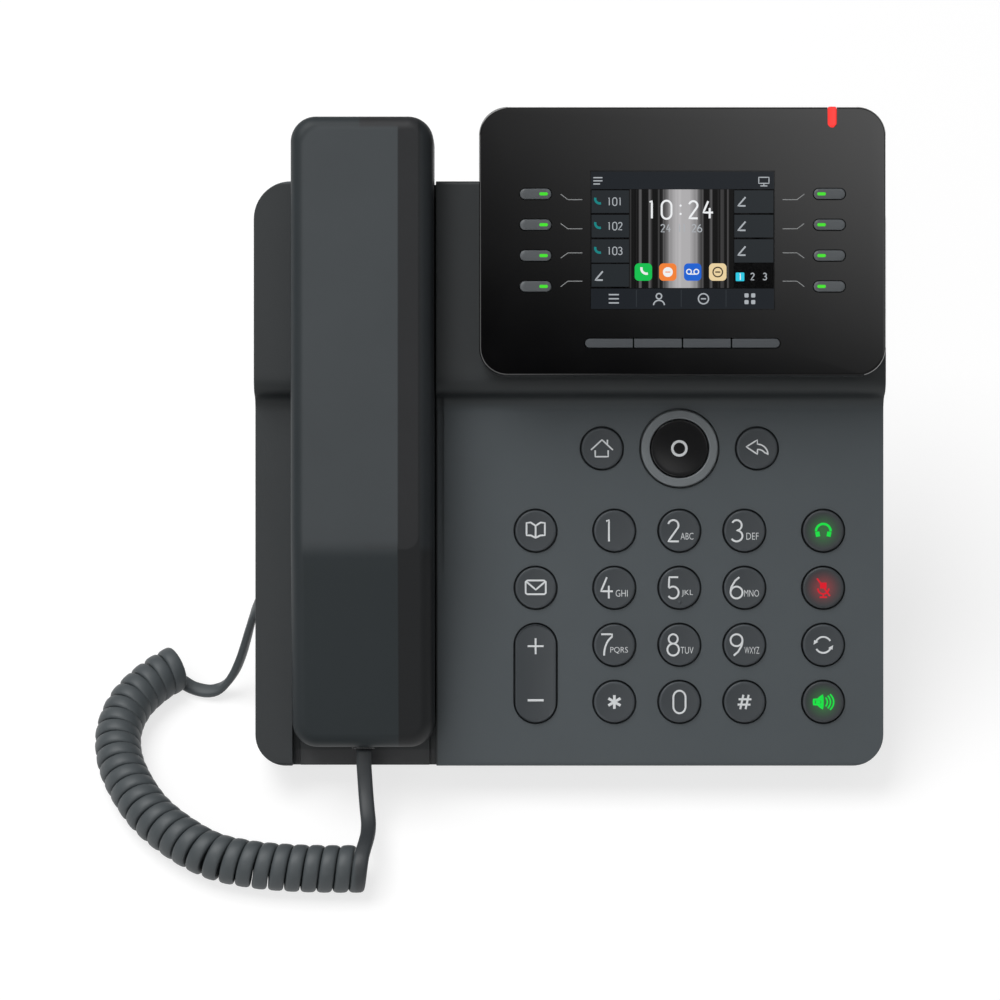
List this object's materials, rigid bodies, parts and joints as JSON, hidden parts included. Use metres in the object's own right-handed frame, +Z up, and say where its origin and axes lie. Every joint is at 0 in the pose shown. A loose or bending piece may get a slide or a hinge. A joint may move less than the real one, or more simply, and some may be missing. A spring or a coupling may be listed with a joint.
{
  "type": "desk ip phone",
  "caption": "Desk phone with a lift-off handset on a curly cord, a tilting colour display head, a round-key dial pad and a clip-in stand.",
  "frame": {"origin": "on the desk under the middle of the phone without its cord", "axes": "+X to the right across the keypad, +Y away from the user, +Z up"},
  "size_m": [0.254, 0.1912, 0.1765],
  "materials": {
    "body_plastic": "fine-textured slate grey moulding",
    "key_plastic": "satin slate grey",
    "nav_silver": "satin mid grey",
    "ok_gloss": "gloss black",
    "bezel_gloss": "gloss black",
    "head_plastic": "fine-textured black",
    "head_key_plastic": "satin grey",
    "display": "backlit display under a flat window",
    "light_lens": "lit red lens",
    "circuit_board": "green solder mask",
    "silicone": "translucent grey silicone",
    "rubber_feet": "soft black rubber",
    "steel": "zinc plated",
    "driver_metal": "plain pressed metal",
    "socket_plastic": "black moulding",
    "carrier_plastic": "natural acetal",
    "plug_plastic": "smoky moulding",
    "cord_jacket": "satin grey jacket"
  },
  "bodies": {
    "root": {"top_cover": "body_plastic", "back_cover": "body_plastic", "main_board": "circuit_board", "keypad_mat": "silicone", "loudspeaker": "driver_metal", "rear_jacks": "socket_plastic", "stand": "body_plastic", "rubber_feet": "rubber_feet", "cover_screws": "steel", "hinge_pins": "steel", "base_plug": "plug_plastic", "handset_lead": "cord_jacket", "base_lead": "cord_jacket", "cord_coil": "cord_jacket"},
    "handset": {"handset_cover": "body_plastic", "handset_inner": "body_plastic", "handset_capsules": "driver_metal", "handset_plug": "plug_plastic"},
    "hook_plunger": {"hook_plunger": "socket_plastic"},
    "screen": {"screen_bezel": "bezel_gloss", "screen_back": "head_plastic", "lcd_panel": "display", "display_board": "circuit_board", "message_light": "light_lens"},
    "nav_carrier": {"nav_carrier": "carrier_plastic"},
    "nav_ring": {"nav_ring": "nav_silver"},
    "ok_key": {"ok_key": "ok_gloss"},
    "volume_rocker": {"volume_rocker": "key_plastic"},
    "key_5": {"key_5": "key_plastic"},
    "speaker_key": {"speaker_key": "key_plastic"},
    "line_key_1": {"line_key_1": "head_key_plastic"},
    "soft_key_1": {"soft_key_1": "head_key_plastic"},
    "key_1": {"key_1": "key_plastic"},
    "key_2": {"key_2": "key_plastic"},
    "key_3": {"key_3": "key_plastic"},
    "key_4": {"key_4": "key_plastic"},
    "key_6": {"key_6": "key_plastic"},
    "key_7": {"key_7": "key_plastic"},
    "key_8": {"key_8": "key_plastic"},
    "key_9": {"key_9": "key_plastic"},
    "key_star": {"key_star": "key_plastic"},
    "key_0": {"key_0": "key_plastic"},
    "key_hash": {"key_hash": "key_plastic"},
    "headset_key": {"headset_key": "key_plastic"},
    "mute_key": {"mute_key": "key_plastic"},
    "redial_key": {"redial_key": "key_plastic"},
    "phonebook_key": {"phonebook_key": "key_plastic"},
    "message_key": {"message_key": "key_plastic"},
    "home_key": {"home_key": "key_plastic"},
    "back_key": {"back_key": "key_plastic"},
    "line_key_2": {"line_key_2": "head_key_plastic"},
    "line_key_3": {"line_key_3": "head_key_plastic"},
    "line_key_4": {"line_key_4": "head_key_plastic"},
    "line_key_5": {"line_key_5": "head_key_plastic"},
    "line_key_6": {"line_key_6": "head_key_plastic"},
    "line_key_7": {"line_key_7": "head_key_plastic"},
    "line_key_8": {"line_key_8": "head_key_plastic"},
    "soft_key_2": {"soft_key_2": "head_key_plastic"},
    "soft_key_3": {"soft_key_3": "head_key_plastic"},
    "soft_key_4": {"soft_key_4": "head_key_plastic"}
  },
  "joints": [
    {"name": "handset_lift", "type": "slide", "parent": "root", "child": "handset", "axis": [0, -0.7071, 0.7071], "range_m": [0, 0.06]},
    {"name": "screen_tilt", "type": "hinge", "parent": "root", "child": "screen", "pos_m": [0.0352, 0.00992, 0.11416], "axis": [1, 0, 0], "range_deg": [0, 40]},
    {"name": "nav_rock", "type": "hinge", "parent": "nav_carrier", "child": "nav_ring", "pos_m": [0.0352, 0.00331, 0.08273], "axis": [1, 0, 0], "range_deg": [-2, 2], "stiffness_Nm_per_rad": 0.5},
    {"name": "nav_roll", "type": "hinge", "parent": "root", "child": "nav_carrier", "pos_m": [0.0352, 0.00459, 0.08146], "axis": [0, 0.7071, 0.7071], "range_deg": [-2, 2], "stiffness_Nm_per_rad": 0.5},
    {"name": "volume_rock", "type": "hinge", "parent": "root", "child": "volume_rocker", "pos_m": [-0.0108, -0.04769, 0.03194], "axis": [1, 0, 0], "range_deg": [-2, 2], "stiffness_Nm_per_rad": 0.5},
    {"name": "hook_travel", "type": "slide", "parent": "root", "child": "hook_plunger", "axis": [0, -0.7071, 0.7071], "range_m": [0, 0.003]},
    {"name": "ok_press", "type": "slide", "parent": "root", "child": "ok_key", "axis": [0, 0.7071, -0.7071], "range_m": [0, 0.0008], "stiffness_N_per_m": 500},
    {"name": "key_5_press", "type": "slide", "parent": "root", "child": "key_5", "axis": [0, 0.7071, -0.7071], "range_m": [0, 0.0008], "stiffness_N_per_m": 500},
    {"name": "speaker_key_press", "type": "slide", "parent": "root", "child": "speaker_key", "axis": [0, 0.7071, -0.7071], "range_m": [0, 0.0008], "stiffness_N_per_m": 500},
    {"name": "line_key_1_press", "type": "slide", "parent": "screen", "child": "line_key_1", "axis": [0, 0.7071, -0.7071], "range_m": [0, 0.0005], "stiffness_N_per_m": 500},
    {"name": "soft_key_1_press", "type": "slide", "parent": "screen", "child": "soft_key_1", "axis": [0, 0.7071, -0.7071], "range_m": [0, 0.0005], "stiffness_N_per_m": 500},
    {"name": "key_1_press", "type": "slide", "parent": "root", "child": "key_1", "axis": [0, 0.7071, -0.7071], "range_m": [0, 0.0008], "stiffness_N_per_m": 500},
    {"name": "key_2_press", "type": "slide", "parent": "root", "child": "key_2", "axis": [0, 0.7071, -0.7071], "range_m": [0, 0.0008], "stiffness_N_per_m": 500},
    {"name": "key_3_press", "type": "slide", "parent": "root", "child": "key_3", "axis": [0, 0.7071, -0.7071], "range_m": [0, 0.0008], "stiffness_N_per_m": 500},
    {"name": "key_4_press", "type": "slide", "parent": "root", "child": "key_4", "axis": [0, 0.7071, -0.7071], "range_m": [0, 0.0008], "stiffness_N_per_m": 500},
    {"name": "key_6_press", "type": "slide", "parent": "root", "child": "key_6", "axis": [0, 0.7071, -0.7071], "range_m": [0, 0.0008], "stiffness_N_per_m": 500},
    {"name": "key_7_press", "type": "slide", "parent": "root", "child": "key_7", "axis": [0, 0.7071, -0.7071], "range_m": [0, 0.0008], "stiffness_N_per_m": 500},
    {"name": "key_8_press", "type": "slide", "parent": "root", "child": "key_8", "axis": [0, 0.7071, -0.7071], "range_m": [0, 0.0008], "stiffness_N_per_m": 500},
    {"name": "key_9_press", "type": "slide", "parent": "root", "child": "key_9", "axis": [0, 0.7071, -0.7071], "range_m": [0, 0.0008], "stiffness_N_per_m": 500},
    {"name": "key_star_press", "type": "slide", "parent": "root", "child": "key_star", "axis": [0, 0.7071, -0.7071], "range_m": [0, 0.0008], "stiffness_N_per_m": 500},
    {"name": "key_0_press", "type": "slide", "parent": "root", "child": "key_0", "axis": [0, 0.7071, -0.7071], "range_m": [0, 0.0008], "stiffness_N_per_m": 500},
    {"name": "key_hash_press", "type": "slide", "parent": "root", "child": "key_hash", "axis": [0, 0.7071, -0.7071], "range_m": [0, 0.0008], "stiffness_N_per_m": 500},
    {"name": "headset_key_press", "type": "slide", "parent": "root", "child": "headset_key", "axis": [0, 0.7071, -0.7071], "range_m": [0, 0.0008], "stiffness_N_per_m": 500},
    {"name": "mute_key_press", "type": "slide", "parent": "root", "child": "mute_key", "axis": [0, 0.7071, -0.7071], "range_m": [0, 0.0008], "stiffness_N_per_m": 500},
    {"name": "redial_key_press", "type": "slide", "parent": "root", "child": "redial_key", "axis": [0, 0.7071, -0.7071], "range_m": [0, 0.0008], "stiffness_N_per_m": 500},
    {"name": "phonebook_key_press", "type": "slide", "parent": "root", "child": "phonebook_key", "axis": [0, 0.7071, -0.7071], "range_m": [0, 0.0008], "stiffness_N_per_m": 500},
    {"name": "message_key_press", "type": "slide", "parent": "root", "child": "message_key", "axis": [0, 0.7071, -0.7071], "range_m": [0, 0.0008], "stiffness_N_per_m": 500},
    {"name": "home_key_press", "type": "slide", "parent": "root", "child": "home_key", "axis": [0, 0.7071, -0.7071], "range_m": [0, 0.0008], "stiffness_N_per_m": 500},
    {"name": "back_key_press", "type": "slide", "parent": "root", "child": "back_key", "axis": [0, 0.7071, -0.7071], "range_m": [0, 0.0008], "stiffness_N_per_m": 500},
    {"name": "line_key_2_press", "type": "slide", "parent": "screen", "child": "line_key_2", "axis": [0, 0.7071, -0.7071], "range_m": [0, 0.0005], "stiffness_N_per_m": 500},
    {"name": "line_key_3_press", "type": "slide", "parent": "screen", "child": "line_key_3", "axis": [0, 0.7071, -0.7071], "range_m": [0, 0.0005], "stiffness_N_per_m": 500},
    {"name": "line_key_4_press", "type": "slide", "parent": "screen", "child": "line_key_4", "axis": [0, 0.7071, -0.7071], "range_m": [0, 0.0005], "stiffness_N_per_m": 500},
    {"name": "line_key_5_press", "type": "slide", "parent": "screen", "child": "line_key_5", "axis": [0, 0.7071, -0.7071], "range_m": [0, 0.0005], "stiffness_N_per_m": 500},
    {"name": "line_key_6_press", "type": "slide", "parent": "screen", "child": "line_key_6", "axis": [0, 0.7071, -0.7071], "range_m": [0, 0.0005], "stiffness_N_per_m": 500},
    {"name": "line_key_7_press", "type": "slide", "parent": "screen", "child": "line_key_7", "axis": [0, 0.7071, -0.7071], "range_m": [0, 0.0005], "stiffness_N_per_m": 500},
    {"name": "line_key_8_press", "type": "slide", "parent": "screen", "child": "line_key_8", "axis": [0, 0.7071, -0.7071], "range_m": [0, 0.0005], "stiffness_N_per_m": 500},
    {"name": "soft_key_2_press", "type": "slide", "parent": "screen", "child": "soft_key_2", "axis": [0, 0.7071, -0.7071], "range_m": [0, 0.0005], "stiffness_N_per_m": 500},
    {"name": "soft_key_3_press", "type": "slide", "parent": "screen", "child": "soft_key_3", "axis": [0, 0.7071, -0.7071], "range_m": [0, 0.0005], "stiffness_N_per_m": 500},
    {"name": "soft_key_4_press", "type": "slide", "parent": "screen", "child": "soft_key_4", "axis": [0, 0.7071, -0.7071], "range_m": [0, 0.0005], "stiffness_N_per_m": 500}
  ],
  "couplings": [
    {"joint": "hook_travel", "follows": "handset_lift", "ratio": 0.05}
  ]
}
